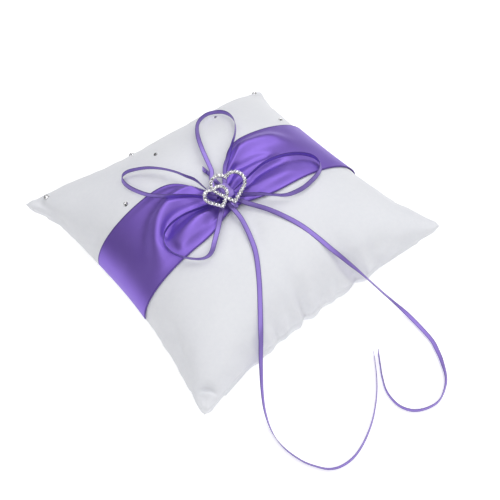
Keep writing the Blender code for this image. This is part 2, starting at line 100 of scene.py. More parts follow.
# Routes of the bow's ribbon: x, y, z, and the ribbon's turn about its route, 0 lying flat
LOOP_ROUTES = {
    "bow_loop_back": (
        (-0.0102, -0.0016, 0.0630, 0), (-0.0094, 0.0040, 0.0643, 0), (-0.0063, 0.0092, 0.0648, 0),
        (-0.0026, 0.0140, 0.0654, -2), (-0.0004, 0.0209, 0.0670, -3), (0.0023, 0.0298, 0.0690, -5),
        (0.0072, 0.0413, 0.0685, -15), (0.0143, 0.0531, 0.0648, -45), (0.0224, 0.0624, 0.0602, -70),
        (0.0317, 0.0677, 0.0565, -80), (0.0379, 0.0671, 0.0555, -79), (0.0418, 0.0622, 0.0570, -80),
        (0.0425, 0.0551, 0.0593, -86), (0.0403, 0.0462, 0.0622, -95), (0.0353, 0.0371, 0.0653, -102),
        (0.0278, 0.0280, 0.0680, -98), (0.0198, 0.0210, 0.0690, -104), (0.0122, 0.0149, 0.0678, -122),
        (0.0061, 0.0108, 0.0660, -135), (0.0010, 0.0046, 0.0644, -145), (-0.0035, -0.0009, 0.0630, -150),
    ),
    "bow_loop_left": (
        (-0.0134, -0.0014, 0.0630, -60), (-0.0143, 0.0065, 0.0642, -75), (-0.0155, 0.0146, 0.0655, -88),
        (-0.0190, 0.0204, 0.0670, -84), (-0.0224, 0.0266, 0.0682, -76), (-0.0273, 0.0348, 0.0680, -75),
        (-0.0326, 0.0431, 0.0660, -81), (-0.0382, 0.0491, 0.0638, -85), (-0.0436, 0.0533, 0.0616, -88),
        (-0.0478, 0.0532, 0.0603, -80), (-0.0499, 0.0489, 0.0607, -62), (-0.0504, 0.0410, 0.0622, -61),
        (-0.0486, 0.0315, 0.0640, -68), (-0.0453, 0.0222, 0.0660, -74), (-0.0393, 0.0137, 0.0678, -77),
        (-0.0323, 0.0091, 0.0670, -82), (-0.0249, 0.0050, 0.0650, -88), (-0.0185, -0.0006, 0.0639, -80),
        (-0.0128, -0.0053, 0.0628, -60),
    ),
    "bow_loop_right": (
        (-0.0016, -0.0068, 0.0624, 60), (0.0068, -0.0067, 0.0648, 75), (0.0161, -0.0064, 0.0678, 82),
        (0.0245, -0.0064, 0.0698, 84), (0.0332, -0.0078, 0.0702, 87), (0.0428, -0.0099, 0.0685, 88),
        (0.0518, -0.0129, 0.0653, 86), (0.0578, -0.0172, 0.0620, 86), (0.0586, -0.0232, 0.0604, 78),
        (0.0540, -0.0288, 0.0615, 63), (0.0457, -0.0331, 0.0635, 51), (0.0342, -0.0361, 0.0650, 52),
        (0.0255, -0.0357, 0.0655, 64), (0.0196, -0.0336, 0.0656, 88), (0.0149, -0.0292, 0.0656, 100),
        (0.0098, -0.0228, 0.0648, 92), (0.0042, -0.0170, 0.0635, 78), (-0.0009, -0.0109, 0.0622, 60),
    ),
    "bow_loop_front": (
        (-0.0126, -0.0090, 0.0624, -60), (-0.0187, -0.0080, 0.0634, -70), (-0.0258, -0.0069, 0.0648, -75),
        (-0.0334, -0.0064, 0.0665, -74), (-0.0404, -0.0060, 0.0673, -75), (-0.0478, -0.0057, 0.0660, -78),
        (-0.0536, -0.0067, 0.0638, -82), (-0.0575, -0.0096, 0.0616, -86), (-0.0592, -0.0146, 0.0603, -91),
        (-0.0586, -0.0211, 0.0596, -98), (-0.0552, -0.0287, 0.0600, -102), (-0.0503, -0.0352, 0.0607, -102),
        (-0.0456, -0.0379, 0.0613, -88), (-0.0411, -0.0374, 0.0628, -50), (-0.0353, -0.0331, 0.0648, -20),
        (-0.0284, -0.0273, 0.0656, -13), (-0.0200, -0.0187, 0.0636, -12), (-0.0130, -0.0123, 0.0619, -10),
    ),
}
TAIL_ROUTES = {
    "ribbon_tail_front": (
        (-0.0101, -0.0123, 0.0618, 0), (-0.0104, -0.0170, 0.0622, 0), (-0.0108, -0.0223, 0.0625, -5),
        (-0.0119, -0.0297, 0.0623, -10), (-0.0159, -0.0426, 0.0617, -10), (-0.0208, -0.0543, 0.0596, -5),
        (-0.0291, -0.0672, 0.0537, 0), (-0.0387, -0.0797, 0.0456, 2), (-0.0450, -0.0875, 0.0394, 15),
        (-0.0484, -0.0915, 0.0340, 28), (-0.0523, -0.0958, 0.0265, 38), (-0.0554, -0.0995, 0.0195, 47),
        (-0.0612, -0.1071, 0.0120, 57), (-0.0667, -0.1162, 0.0050, 63), (-0.0709, -0.1278, 0.0018, 72),
        (-0.0719, -0.1400, 0.0016, 84), (-0.0690, -0.1527, 0.0016, 84), (-0.0644, -0.1612, 0.0016, 86),
        (-0.0599, -0.1665, 0.0016, 90), (-0.0534, -0.1695, 0.0016, 97), (-0.0444, -0.1700, 0.0016, 100),
        (-0.0337, -0.1671, 0.0016, 101), (-0.0213, -0.1610, 0.0016, 101), (-0.0104, -0.1532, 0.0016, 101),
        (-0.0024, -0.1459, 0.0016, 102), (0.0042, -0.1385, 0.0016, 102), (0.0080, -0.1338, 0.0016, 101),
        (0.0120, -0.1285, 0.0016, 100),
    ),
    "ribbon_tail_right": (
        (-0.0038, -0.0125, 0.0618, -30), (-0.0024, -0.0165, 0.0620, -34), (-0.0008, -0.0208, 0.0622, -38),
        (0.0020, -0.0263, 0.0625, -38), (0.0061, -0.0353, 0.0630, -37), (0.0103, -0.0457, 0.0622, -35),
        (0.0144, -0.0561, 0.0598, -34), (0.0179, -0.0672, 0.0556, -30), (0.0203, -0.0757, 0.0518, -22),
        (0.0231, -0.0820, 0.0476, -12), (0.0268, -0.0875, 0.0415, -4), (0.0302, -0.0912, 0.0360, 5),
        (0.0341, -0.0949, 0.0290, 14), (0.0383, -0.0986, 0.0213, 19), (0.0422, -0.1035, 0.0140, 26),
        (0.0459, -0.1110, 0.0075, 25), (0.0485, -0.1234, 0.0026, 2), (0.0471, -0.1432, 0.0016, 10),
        (0.0440, -0.1520, 0.0016, 14), (0.0400, -0.1599, 0.0016, 28), (0.0326, -0.1700, 0.0016, 56),
        (0.0213, -0.1763, 0.0016, 80), (0.0119, -0.1762, 0.0016, 84), (0.0029, -0.1717, 0.0016, 84),
        (-0.0016, -0.1635, 0.0016, 88), (-0.0008, -0.1530, 0.0016, 88), (0.0040, -0.1440, 0.0016, 86),
        (0.0095, -0.1365, 0.0016, 86), (0.0152, -0.1290, 0.0016, 88),
    ),
}

# Folds of the band: points of the fold over the pillow, height and half width
BAND_FOLDS = (
    (((-0.0145, 0.006), (-0.022, 0.0095), (-0.030, 0.0105), (-0.038, 0.010), (-0.0465, 0.008), (-0.054, 0.003),
      (-0.0605, -0.005), (-0.065, -0.014), (-0.067, -0.022)), 0.0046, 0.0070),
    (((-0.013, -0.003), (-0.021, -0.001), (-0.030, 0.000), (-0.039, 0.0005), (-0.047, -0.001),
      (-0.053, -0.006), (-0.057, -0.012)), -0.0038, 0.0032),
    (((-0.022, -0.010), (-0.032, -0.0125), (-0.042, -0.015), (-0.050, -0.018), (-0.056, -0.021)), 0.0048, 0.0084),
    (((-0.013, -0.012), (-0.022, -0.0155), (-0.032, -0.019)), -0.0010, 0.0024),
    (((0.000, 0.002), (0.0106, 0.0061), (0.018, 0.0048), (0.026, 0.0035), (0.036, 0.000)), -0.0036, 0.0026),
    (((0.002, 0.008), (0.010, 0.012), (0.018, 0.015), (0.028, 0.017), (0.036, 0.0165), (0.050, 0.0145),
      (0.058, 0.008)), 0.0036, 0.0068),
    (((0.001, -0.007), (0.0105, -0.009), (0.018, -0.0075), (0.029, -0.008), (0.044, -0.0095)), -0.0024, 0.0025),
    (((0.002, -0.002), (0.014, -0.001), (0.028, -0.003), (0.042, -0.005)), 0.0018, 0.0042),
    (((0.003, -0.012), (0.015, -0.0155), (0.027, -0.019), (0.044, -0.0205)), 0.0022, 0.0072),
)

# How the filled corners sit off their cut places
CORNER_SHIFTS = {(-1, 1): (-0.0050, 0.0005, -0.0062), (1, 1): (0.0045, -0.0015, -0.0020)}

# Puckers at the front seam: x at the seam, slant, half width, depth, reach
FRONT_PUCKERS = (
    (-0.060, 0.05, 0.0050, 0.0008, 0.014), (-0.046, 0.00, 0.0035, 0.0007, 0.010),
    (-0.035, -0.02, 0.0034, 0.0032, 0.014), (-0.024, 0.05, 0.0030, 0.0010, 0.008),
    (-0.012, 0.03, 0.0036, 0.0048, 0.023), (0.004, -0.06, 0.0034, 0.0030, 0.012),
    (0.014, 0.00, 0.0030, 0.0010, 0.008), (0.031, -0.12, 0.0050, 0.0046, 0.026),
    (0.047, -0.05, 0.0040, 0.0009, 0.012), (0.066, -0.05, 0.0050, 0.0007, 0.014),
)


# Shader maths


class Value:
    """A shader socket that adds Math nodes to its material when it is calculated with."""

    def __init__(self, finish, socket):
        self.finish = finish
        self.socket = socket

    def maths(self, operation, first, second):
        return self.finish.node("ShaderNodeMath", {"operation": operation}, {0: first, 1: second})

    def __add__(self, other):
        return self.maths("ADD", self, other)

    def __radd__(self, other):
        return self.maths("ADD", other, self)

    def __sub__(self, other):
        return self.maths("SUBTRACT", self, other)

    def __rsub__(self, other):
        return self.maths("SUBTRACT", other, self)

    def __mul__(self, other):
        return self.maths("MULTIPLY", self, other)

    def __rmul__(self, other):
        return self.maths("MULTIPLY", other, self)

    def __truediv__(self, other):
        return self.maths("DIVIDE", self, other)

    def __rtruediv__(self, other):
        return self.maths("DIVIDE", other, self)

    def __pow__(self, other):
        return self.maths("POWER", self, other)

    def __gt__(self, other):
        return self.maths("GREATER_THAN", self, other)

    def __lt__(self, other):
        return self.maths("LESS_THAN", self, other)

    def __abs__(self):
        return self.maths("ABSOLUTE", self, 0.0)


class Finish:
    """A material whose nodes are added one call at a time."""

    def __init__(self, name, **constants):
        self.material = bpy.data.materials.new(name)
        self.material.use_nodes = True
        self.tree = self.material.node_tree
        self.shader = self.tree.nodes["Principled BSDF"]
        for socket, value in constants.items():
            self.shader.inputs[socket.replace("_", " ")].default_value = value

    def node(self, kind, settings=None, sockets=None, output=0):
        """Adds a node, sets it up, fills its sockets and gives one of its outputs."""
        made = self.tree.nodes.new(kind)
        for name, value in (settings or {}).items():
            setattr(made, name, value)
        for key, value in (sockets or {}).items():
            self.fill(made.inputs[key], value)
        return Value(self, made.outputs[output])

    def fill(self, socket, value):
        if isinstance(value, Value):
            self.tree.links.new(value.socket, socket)
        else:
            socket.default_value = value

    def feed(self, name, value):
        self.fill(self.shader.inputs[name], value)

    def place(self, scale=1.0):
        """Object coordinates, times a scale."""
        place = self.node("ShaderNodeTexCoord", output="Object")
        return self.node("ShaderNodeMapping", None, {0: place, 3: (scale, scale, scale)})

    def noise(self, place, scale, detail=2.0, roughness=0.5):
        return self.node(
            "ShaderNodeTexNoise", None, {"Vector": place, "Scale": scale, "Detail": detail, "Roughness": roughness}
        )

    def colour(self, factor, first, second):
        """A colour between two, by a factor from 0 to 1."""
        sockets = {0: factor, 6: first, 7: second}
        return self.node("ShaderNodeMix", {"data_type": "RGBA"}, sockets, output=2)

    def bump(self, height, strength, distance):
        sockets = {"Height": height, "Strength": strength, "Distance": distance}
        self.feed("Normal", self.node("ShaderNodeBump", None, sockets))


def weave(finish, place, threads):
    """Crossing threads: a fine pattern of two waves at right angles, threads to the metre."""
    parts = finish.node("ShaderNodeSeparateXYZ", None, {0: place})
    x = Value(finish, parts.socket.node.outputs[0])
    y = Value(finish, parts.socket.node.outputs[1])
    z = Value(finish, parts.socket.node.outputs[2])
    across = finish.node("ShaderNodeMath", {"operation": "SINE"}, {0: (x + z) * threads})
    along = finish.node("ShaderNodeMath", {"operation": "SINE"}, {0: (y - z) * threads})
    return across * along


def white_satin():
    finish = Finish(
        "white satin", Roughness=0.46, Specular_IOR_Level=0.42, Sheen_Weight=0.12, Sheen_Roughness=0.4
    )
    place = finish.place()
    patches = finish.noise(place, 26.0, 3.0)
    slubs = finish.noise(place, 420.0, 2.0)
    mottle = patches * 0.6 + slubs * 0.4
    finish.feed("Base Color", finish.colour(mottle, (0.745, 0.755, 0.80, 1), (0.86, 0.865, 0.885, 1)))
    finish.feed("Roughness", 0.40 + slubs * 0.12)
    threads = weave(finish, place, 9000.0)
    finish.bump(threads * 0.4 + slubs * 0.8 + patches * 3.0, 0.22, 0.0002)
    return finish.material


def selvage(finish, strands):
    """1 in the woven edge of a ribbon and 0 over its face, from the piece's own map."""
    ribbon_map = finish.node("ShaderNodeUVMap", {"uv_map": "ribbon"})
    parts = finish.node("ShaderNodeSeparateXYZ", None, {0: ribbon_map})
    along = Value(finish, parts.socket.node.outputs[0])
    across = Value(finish, parts.socket.node.outputs[1])
    edge = abs(across - 0.5) > 0.5 - strands
    return along, across, edge


def purple_satin(name, edge_share, thread_count, dark, light):
    """Satin ribbon: long floats across the weave, a firmer selvage painted darker, partly as painted shade, and a
    soft broad shine.
    """
    finish = Finish(
        name, Metallic=0.85, Specular_IOR_Level=0.6, Sheen_Weight=0.08, Sheen_Roughness=0.3,
        Sheen_Tint=(0.72, 0.62, 1.0, 1.0), Anisotropic=0.3,
    )
    along, across, edge = selvage(finish, edge_share)
    place = finish.place()
    patches = finish.noise(place, 60.0, 2.0)
    slubs = finish.noise(place, 900.0, 2.0)
    cloth = finish.colour(patches * 0.7 + slubs * 0.3, dark, light)
    # The woven edge is darker: partly its own firmer weave, partly painted shade that keeps ribbons lying on edge
    # from looking too light
    selvage_and_shade = tuple(0.55 * c for c in dark[:3]) + (1.0,)
    finish.feed("Base Color", finish.colour(edge * 0.75, cloth, selvage_and_shade))
    finish.feed("Roughness", 0.42 + slubs * 0.10 + edge * 0.12)
    floats = finish.node("ShaderNodeMath", {"operation": "SINE"}, {0: across * (6.2832 * thread_count)})
    finish.bump(floats * 0.5 + slubs * 0.6 + edge * 1.2, 0.14, 0.0002)
    return finish.material


def silver_metal():
    finish = Finish("silver-tone metal", Metallic=1.0, Specular_IOR_Level=0.6)
    place = finish.place()
    tarnish = finish.noise(place, 700.0, 3.0)
    finish.feed("Base Color", finish.colour(tarnish, (0.66, 0.65, 0.64, 1), (0.95, 0.94, 0.92, 1)))
    finish.feed("Roughness", 0.14 + tarnish * 0.16)
    finish.bump(finish.noise(place, 2600.0, 2.0), 0.10, 0.0001)
    return finish.material


def crystal():
    """Foil-backed cut glass with painted reflections: each facet gets its own grey from black to white, and the
    brightest glow as painted glints.
    """
    finish = Finish("foiled crystal with painted glints", Metallic=0.75, Coat_Weight=1.0, Coat_Roughness=0.02, Emission_Strength=0.35)
    facet_glint = finish.node("ShaderNodeAttribute", {"attribute_name": "facet_glint"}, output="Fac")
    # Each facet's colour is a painted reflection, from black to white
    finish.feed("Base Color", finish.colour(facet_glint, (0.02, 0.02, 0.03, 1), (1.0, 1.0, 1.0, 1)))
    finish.feed("Roughness", 0.04 + facet_glint * 0.08)
    # The brightest facets glow though no lamp is there: painted glints
    finish.feed("Emission Color", finish.colour(facet_glint**4.0, (0.0, 0.0, 0.0, 1), (0.9, 0.9, 0.92, 1)))
    return finish.material


def table_top():
    finish = Finish("pale table", Roughness=0.7, Specular_IOR_Level=0.2)
    grain = finish.noise(finish.place(), 3.0, 2.0)
    finish.feed("Base Color", finish.colour(grain, (0.93, 0.93, 0.93, 1), (0.95, 0.95, 0.95, 1)))
    finish.feed("Emission Color", (1.0, 1.0, 1.0, 1.0))
    finish.feed("Emission Strength", 0.32)
    return finish.material


# Camera, lights and table


def set_camera():
    """Looks down on the front of the pillow from its left, with the camera turned a little."""
    yaw, pitch, roll = math.radians(-35.18), math.radians(52.25), math.radians(-4.38)
    back = Vector((
        math.sin(yaw) * math.cos(pitch), -math.cos(yaw) * math.cos(pitch), math.sin(pitch),
    ))
    right = Vector((math.cos(yaw), math.sin(yaw), 0.0))
    up = back.cross(right)
    right, up = (
        math.cos(roll) * right + math.sin(roll) * up,
        math.cos(roll) * up - math.sin(roll) * right,
    )
    data = bpy.data.cameras.new("camera")
    data.sensor_width = 36.0
    data.lens = 54.68
    camera = bpy.data.objects.new("camera", data)
    bpy.context.scene.collection.objects.link(camera)
    place = Matrix((right, up, back)).transposed().to_4x4()
    place.translation = (-0.18414, -0.28014, 0.42377)
    camera.matrix_world = place
    bpy.context.scene.camera = camera


def add_light(name, place, size, power, colour=(1.0, 1.0, 1.0)):
    data = bpy.data.lights.new(name, "AREA")
    data.shape = "DISK"
    data.size = size
    data.energy = power
    data.color = colour
    light = bpy.data.objects.new(name, data)
    bpy.context.scene.collection.objects.link(light)
    light.location = place
    light.rotation_euler = (Vector((0.0, 0.0, 0.03)) - Vector(place)).to_track_quat("-Z", "Y").to_euler()


def set_studio():
    scene = bpy.context.scene
    scene.view_settings.view_transform = "Standard"
    world = bpy.data.worlds.new("studio")
    scene.world = world
    world.use_nodes = True
    tree = world.node_tree
    sky = tree.nodes["Background"]
    way = tree.nodes.new("ShaderNodeTexCoord")
    side = tree.nodes.new("ShaderNodeVectorMath")
    side.operation = "DOT_PRODUCT"
    side.inputs[1].default_value = (0.20, 0.00, 0.98)
    tree.links.new(way.outputs["Generated"], side.inputs[0])
    glow = tree.nodes.new("ShaderNodeMapRange")
    glow.interpolation_type = "SMOOTHSTEP"
    for socket, value in zip(("From Min", "From Max", "To Min", "To Max"), (0.42, 0.78, 0.15, 1.10)):
        glow.inputs[socket].default_value = value
    tree.links.new(side.outputs["Value"], glow.inputs["Value"])
    tree.links.new(glow.outputs[0], sky.inputs["Strength"])
    sky.inputs["Color"].default_value = (0.98, 0.985, 1.0, 1.0)
    seen = tree.nodes.new("ShaderNodeBackground")
    seen.inputs["Color"].default_value = (1.0, 1.0, 1.0, 1.0)
    path = tree.nodes.new("ShaderNodeLightPath")
    mix = tree.nodes.new("ShaderNodeMixShader")
    tree.links.new(path.outputs["Is Camera Ray"], mix.inputs[0])
    tree.links.new(sky.outputs[0], mix.inputs[1])
    tree.links.new(seen.outputs[0], mix.inputs[2])
    tree.links.new(mix.outputs[0], tree.nodes["World Output"].inputs[0])
    add_light("softbox overhead", (0.46, 0.24, 0.95), 0.70, 1.4)
    add_light("softbox right", (0.95, -0.35, 0.60), 0.60, 0.6)
    add_light("softbox front", (-0.62, -0.70, 0.85), 0.9, 3.3)


def lay_table(material):
    bpy.ops.object.select_all(action="DESELECT")
    bpy.ops.mesh.primitive_plane_add(size=6.0)
    table = bpy.context.object
    table.name = "table"
    bpy.ops.object.mode_set(mode="EDIT")
    bpy.ops.mesh.select_all(action="SELECT")
    bpy.ops.mesh.subdivide(number_cuts=3)
    bpy.ops.object.mode_set(mode="OBJECT")
    table.data.materials.append(material)


# Surfaces of the pillow and band


def corner_lift(x, y):
    lift = CORNER_LIFT[(1 if x > 0 else -1, 1 if y > 0 else -1)]
    return lift * (abs(x) * abs(y) / HALF**2) ** 2


def hollow(x, y):
    away = ((x - KNOT.x) ** 2 + (y - KNOT.y) ** 2) / HOLLOW_RADIUS**2
    return HOLLOW_DEPTH * math.exp(-away)


def pillow_point(u, v, rise, grow=0.0):
    """A point of a panel: u and v run from -1 to 1 between the seams, rise is its height over them."""
    x = u * (HALF - PULL_X * (1 - v * v) + grow)
    y = v * (HALF - PULL_Y * (1 - u * u) + grow)
    bulge = math.sqrt(max(0.0, (1 - u * u) * (1 - v * v)))
    z = SEAM_HEIGHT + corner_lift(x, y)
    if rise > 0:
        return Vector((x, y, z + (rise + grow) * bulge - hollow(x, y) * min(1.0, 4 * bulge)))
    return Vector((x, y, max(0.0, z + (rise - grow) * bulge)))


def top_at(x, y, grow=0.0):
    u, v = x / HALF, y / HALF
    for _ in range(20):
        u = max(-1.0, min(1.0, x / (HALF - PULL_X * (1 - v * v) + grow)))
        v = max(-1.0, min(1.0, y / (HALF - PULL_Y * (1 - u * u) + grow)))
    return pillow_point(u, v, CROWN, grow).z


def gather(x):
    """1 at the knot, falling to 0 where the band lies at its full width."""
    return math.exp(-(((x - KNOT.x) / GATHER_LENGTH) ** 2))


def half_width_at(x, across):
    """Half the band's width on one side: left of the knot its back edge opens out sooner."""
    share = gather(x)
    if across > 0 and x < KNOT.x:
        share = math.exp(-(((x - KNOT.x) / (GATHER_LENGTH * 0.74)) ** 2))
    return BAND_WIDTH / 2 - (BAND_WIDTH - BAND_WAIST) / 2 * share


def band_point(x, across, layer):
    u = x / (HALF - PULL_X)
    half_width = half_width_at(x, across)
    y = KNOT.y * gather(x) + across * half_width
    v = y / (HALF - PULL_Y * (1 - u * u))
    room = BAND_GAP + (WAIST_ROOM - BAND_GAP) * gather(x)
    return pillow_point(u, v, CROWN, room + layer)


# Mesh helpers


def new_piece(name, mesh, material, replaces=()):
    piece = bpy.data.objects.new(name, mesh)
    bpy.context.scene.collection.objects.link(piece)
    mesh.materials.append(material)
    dress(piece, replaces)
    return piece


def dress(piece, replaces=()):
    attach(piece, "root")
    if replaces:
        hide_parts(*replaces)


def coordinates(mesh):
    points = np.empty(len(mesh.vertices) * 3)
    mesh.vertices.foreach_get("co", points)
    return points.reshape(-1, 3)


def grid_faces(rows, columns, start=0):
    """Faces of a grid of rows x columns points."""
    faces = []
    for i in range(rows - 1):
        for j in range(columns - 1):
            a = start + i * columns + j
            faces.append((a, a + columns, a + columns + 1, a + 1))
    return faces


# Pillow


def sewn_cover():
    """Both panels as one closed form that shares its seam."""
    count = PANEL_CELLS + 1
    share = [math.sin(math.pi * (k / PANEL_CELLS - 0.5)) for k in range(count)]
    top = [pillow_point(u, v, CROWN) for u in share for v in share]
    bottom = [pillow_point(u, v, -BELLY) for u in share for v in share]
    faces = grid_faces(count, count)
    faces += [tuple(reversed(face)) for face in grid_faces(count, count, count * count)]
    mesh = bpy.data.meshes.new("cushion")
    mesh.from_pydata(top + bottom, [], faces)
    bm = bmesh.new()
    bm.from_mesh(mesh)
    bmesh.ops.remove_doubles(bm, verts=bm.verts, dist=1e-6)
    bm.to_mesh(mesh)
    bm.free()
    return mesh


def seam_distance(points):
    """How far each point is from the seam, across the cloth."""
    x, y, z = points.T
    u, v = x / HALF, y / HALF
    for _ in range(8):
        u = np.clip(x / (HALF - PULL_X * (1 - v * v)), -1, 1)
        v = np.clip(y / (HALF - PULL_Y * (1 - u * u)), -1, 1)
    lift = np.array([corner_lift(a, b) for a, b in zip(x, y)])
    up = z - SEAM_HEIGHT - lift
    in_x = HALF - PULL_X * (1 - v * v) - np.abs(x)
    in_y = HALF - PULL_Y * (1 - u * u) - np.abs(y)
    return np.hypot(np.minimum(in_x, in_y), up), up


def fill_cover(cushion):
    """Fills the cover by simulation: its seam, its hollow and what the band covers stay where they are."""
    before = coordinates(cushion.data)
    away, _ = seam_distance(before)
    from_knot = np.hypot(before[:, 0] - KNOT.x, before[:, 1] - KNOT.y)
    held = (away < 0.0006) | (from_knot < 0.020) | (before[:, 2] < 0.0004)
    group = cushion.vertex_groups.new(name="held")
    group.add([int(k) for k in np.flatnonzero(held)], 1.0, "REPLACE")
    filling = cushion.modifiers.new("filling", "CLOTH")
    cloth = filling.settings
    cloth.quality = 5
    cloth.mass = 0.12
    cloth.tension_stiffness = 12
    cloth.compression_stiffness = 12
    cloth.shear_stiffness = 4
    cloth.bending_stiffness = 0.3
    cloth.shrink_min = -0.018
    cloth.use_pressure = True
    cloth.uniform_pressure_force = 4
    cloth.effector_weights.gravity = 0
    cloth.vertex_group_mass = group.name
    filling.point_cache.frame_start = 1
    filling.point_cache.frame_end = 20
    scene = bpy.context.scene
    for step in range(1, 21):
        scene.frame_set(step)
    graph = bpy.context.evaluated_depsgraph_get()
    after = coordinates(cushion.evaluated_get(graph).data)
    cushion.modifiers.remove(filling)
    cushion.vertex_groups.remove(group)
    scene.frame_set(1)

    normals = np.array([v.normal[:] for v in cushion.data.vertices])
    moved = ((after - before) * normals).sum(axis=1)
    moved = np.clip(moved - np.median(moved[~held]), -0.0030, 0.0030) * (0.1 + 0.9 * np.clip(away / 0.014, 0, 1))
    band_edge = np.clip((np.abs(before[:, 1]) - BAND_WIDTH / 2) / 0.008, 0, 1)
    free = np.where(before[:, 2] > SEAM_HEIGHT, band_edge, 1.0)
    moved = np.where(moved > 0, 0.35 * moved, moved) * free
    cushion.data.vertices.foreach_set("co", (before + normals * moved[:, None]).ravel())
    cushion.data.update()


def pucker_cover(cushion):
    """Draws the cloth in at the seams, where the filling pulls it, and blunts the turned corners."""
    mesh = cushion.data
    points = coordinates(mesh)
    normals = np.array([v.normal[:] for v in mesh.vertices])
    away, up = seam_distance(points)
    x, y, z = points.T
    upper = up > -0.002
    front = (y < -0.060) & (np.abs(x) < 0.086)
    moved = np.zeros(len(points))
    for at, slant, width, depth, reach in FRONT_PUCKERS:
        line = (x - at - slant * away) / (width * (0.7 + 0.6 * np.minimum(1, away / reach)))
        pull = depth * np.exp(-line**2) * np.exp(-((away / reach) ** 2))
        pull -= 0.35 * depth * np.exp(-((np.abs(line) - 1.9) ** 2) / 0.6) * np.exp(-((away / reach) ** 2))
        at_seam = 0.35 + 0.65 * np.clip(away / 0.004, 0, 1)
        moved -= np.where(front, pull * at_seam * np.where(upper, 1.0, 0.5), 0)

    rng = random.Random(4)
    for side in range(4):
        turn = (x, y, -x, -y)
        along, out = turn[(side + 1) % 4], turn[side]
        if side == 3:
            continue
        at = -0.086
        while at < 0.086:
            at += rng.uniform(0.007, 0.017)
            width, depth, reach = rng.uniform(0.002, 0.004), rng.uniform(0.0003, 0.0011), rng.uniform(0.004, 0.011)
            slant = rng.uniform(-0.3, 0.3)
            line = (along - at - slant * away) / width
            at_seam = 0.15 + 0.85 * np.clip(away / 0.005, 0, 1)
            moved -= np.where(out > 0.055, at_seam * depth * np.exp(-line**2) * np.exp(-((away / reach) ** 2)), 0)

    low = np.clip(-up / 0.022, 0, 1)
    moved += np.where(up < 0, 0.0026 * np.sin(math.pi * low) * (np.hypot(x, y) < 0.125), 0)
    groove = 0.0005 * np.exp(-((away / 0.0010) ** 2))
    moved -= groove
    points = points + normals * moved[:, None]

    for (sx, sy), blunt in {(-1, 1): 0.0012, (1, 1): 0.0012, (1, -1): 0.0018, (-1, -1): 0.0034}.items():
        corner = np.array((sx * HALF, sy * HALF))
        gone = np.hypot(points[:, 0] - corner[0], points[:, 1] - corner[1])
        pull = blunt * np.exp(-((gone / 0.0045) ** 2))
        inward = -np.array((sx, sy)) / math.sqrt(2)
        points[:, :2] += inward * pull[:, None]
        fat = 0.0010 * np.exp(-(((gone - 0.006) / 0.005) ** 2))
        points[:, 2] += fat * np.clip(up / 0.0015, -1, 1)
    for (sx, sy), shift in CORNER_SHIFTS.items():
        gone = np.hypot(points[:, 0] - sx * HALF, points[:, 1] - sy * HALF)
        points += np.exp(-((gone / 0.018) ** 2))[:, None] * np.array(shift)

    tip = (points[:, 0] + points[:, 1]) / math.sqrt(2) + HALF * math.sqrt(2)
    side = (points[:, 0] - points[:, 1]) / math.sqrt(2)
    crease = 0.0046 * np.exp(-(((tip - 0.0160 + 40 * side**2) / 0.0014) ** 2)) * np.exp(-((side / 0.0050) ** 2))
    points[:, 2] -= crease * np.clip(up / 0.0025, 0, 1)
    points[:, 2] = np.maximum(points[:, 2], 0.0)
    mesh.vertices.foreach_set("co", points.ravel())
    mesh.update()


def subdivide(piece, levels=1):
    smoother = piece.modifiers.new("smoother", "SUBSURF")
    smoother.levels = smoother.render_levels = levels
    apply_modifiers(piece)


def apply_modifiers(piece):
    bpy.ops.object.select_all(action="DESELECT")
    piece.select_set(True)
    bpy.context.view_layer.objects.active = piece
    for modifier in list(piece.modifiers):
        bpy.ops.object.modifier_apply(modifier=modifier.name)


def make_cushion(white):
    mesh = sewn_cover()
    cushion = new_piece(
        "satin_cushion", mesh, white, ("cover_top", "cover_bottom", "fibre_filling")
    )
    fill_cover(cushion)
    subdivide(cushion)
    pucker_cover(cushion)
    cushion.data.shade_smooth()
    return cushion


# Band


def fold_height(x, y):
    """How far the band's folds stand over it or sink into it at each point."""
    total = np.zeros(len(x))
    step = 0.001
    for route, height, width in BAND_FOLDS:
        stations, _ = smooth_route([(*place, 0, 0) for place in route], step)
        for share, place in zip(np.linspace(0, 1, len(stations)), stations):
            spread = width * (0.5 + 0.5 * share)
            fade = min(1.0, (1 - share) / 0.15)
            away = ((x - place[0]) ** 2 + (y - place[1]) ** 2) / spread**2
            total += height * fade * np.exp(-away) * step / (spread * math.sqrt(math.pi))
    return total


def under_the_bow(points):
    """How far the band may rise at each point before it meets the ribbon that lies over it."""
    ceiling = np.full(len(points), 0.01)
    for route in list(LOOP_ROUTES.values()) + [route[:8] for route in TAIL_ROUTES.values()]:
        stations, _ = smooth_route(route, 0.0015)
        for x, y, z, turn in stations:
            low = z - RIBBON_WIDTH / 2 * abs(math.sin(math.radians(turn))) + 0.0003
            away = np.hypot(points[:, 0] - x, points[:, 1] - y)
            ceiling = np.minimum(ceiling, np.maximum(0.0, low - points[:, 2]) + 0.0018 * (away / 0.0045) ** 2)
    return ceiling


